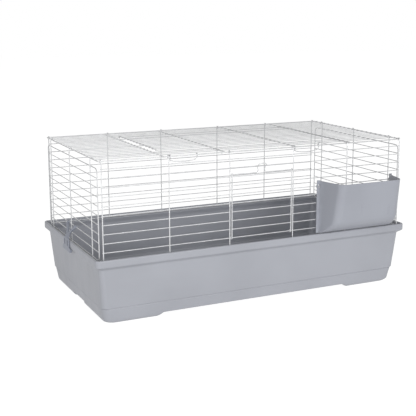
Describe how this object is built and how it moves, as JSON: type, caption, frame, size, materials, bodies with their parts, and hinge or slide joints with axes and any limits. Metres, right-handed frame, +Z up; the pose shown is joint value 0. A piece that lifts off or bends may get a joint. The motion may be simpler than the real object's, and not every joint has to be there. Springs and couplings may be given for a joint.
{
  "type": "rabbit hutch",
  "caption": "Indoor rabbit hutch: deep plastic tray with wire walls, hinged roof door, front door, side clips and a hay rack hung outside the front.",
  "frame": {"origin": "on the floor, under the middle of the whole outline, hay rack included", "axes": "+X along the long side to the viewer's right, -Y out of the front wall and the hay rack, +Z up"},
  "size_m": [1.0076, 0.6126, 0.46],
  "materials": {
    "tray_plastic": "satin",
    "rack_plastic": "satin",
    "clip_plastic": "satin",
    "wire_steel": "zinc plated"
  },
  "bodies": {
    "cage": {"base_tray": "tray_plastic", "front_wall": "wire_steel", "back_wall": "wire_steel", "left_wall": "wire_steel", "right_wall": "wire_steel", "roof_panel": "wire_steel"},
    "roof_door": {"roof_door": "wire_steel", "left_roof_tongue": "wire_steel", "right_roof_tongue": "wire_steel"},
    "front_door": {"front_door": "wire_steel"},
    "front_door_latch": {"front_door_latch": "wire_steel"},
    "left_clip": {"left_clip": "clip_plastic"},
    "right_clip": {"right_clip": "clip_plastic"},
    "hay_rack": {"hay_rack": "rack_plastic", "left_rack_hook": "wire_steel", "right_rack_hook": "wire_steel"},
    "left_handle": {"left_handle": "wire_steel"},
    "right_handle": {"right_handle": "wire_steel"}
  },
  "joints": [
    {"name": "roof_door_hinge", "type": "hinge", "parent": "cage", "child": "roof_door", "pos_m": [0, 0.19225, 0.4554], "axis": [-1, 0, 0], "range_deg": [0, 160]},
    {"name": "front_door_hinge", "type": "hinge", "parent": "cage", "child": "front_door", "pos_m": [0, -0.21149, 0.207], "axis": [1, 0, 0], "range_deg": [0, 130]},
    {"name": "latch_pull", "type": "hinge", "parent": "front_door", "child": "front_door_latch", "pos_m": [0, -0.21769, 0.39], "axis": [1, 0, 0], "range_deg": [0, 15], "stiffness_Nm_per_rad": 0.1},
    {"name": "left_clip_pivot", "type": "hinge", "parent": "cage", "child": "left_clip", "pos_m": [-0.48334, 0.04535, 0.2321], "axis": [0, 1, 0], "range_deg": [0, 110]},
    {"name": "right_clip_pivot", "type": "hinge", "parent": "cage", "child": "right_clip", "pos_m": [0.48334, 0.04535, 0.2321], "axis": [0, -1, 0], "range_deg": [0, 110]},
    {"name": "hay_rack_lift", "type": "slide", "parent": "cage", "child": "hay_rack", "axis": [0, 0, 1], "range_m": [0, 0.012]},
    {"name": "left_handle_swing", "type": "hinge", "parent": "cage", "child": "left_handle", "pos_m": [-0.2415, -0.21015, 0.4534], "axis": [-1, 0, 0], "range_deg": [-80, 240]},
    {"name": "right_handle_swing", "type": "hinge", "parent": "cage", "child": "right_handle", "pos_m": [0.1475, -0.21015, 0.4534], "axis": [-1, 0, 0], "range_deg": [-70, 240]}
  ]
}
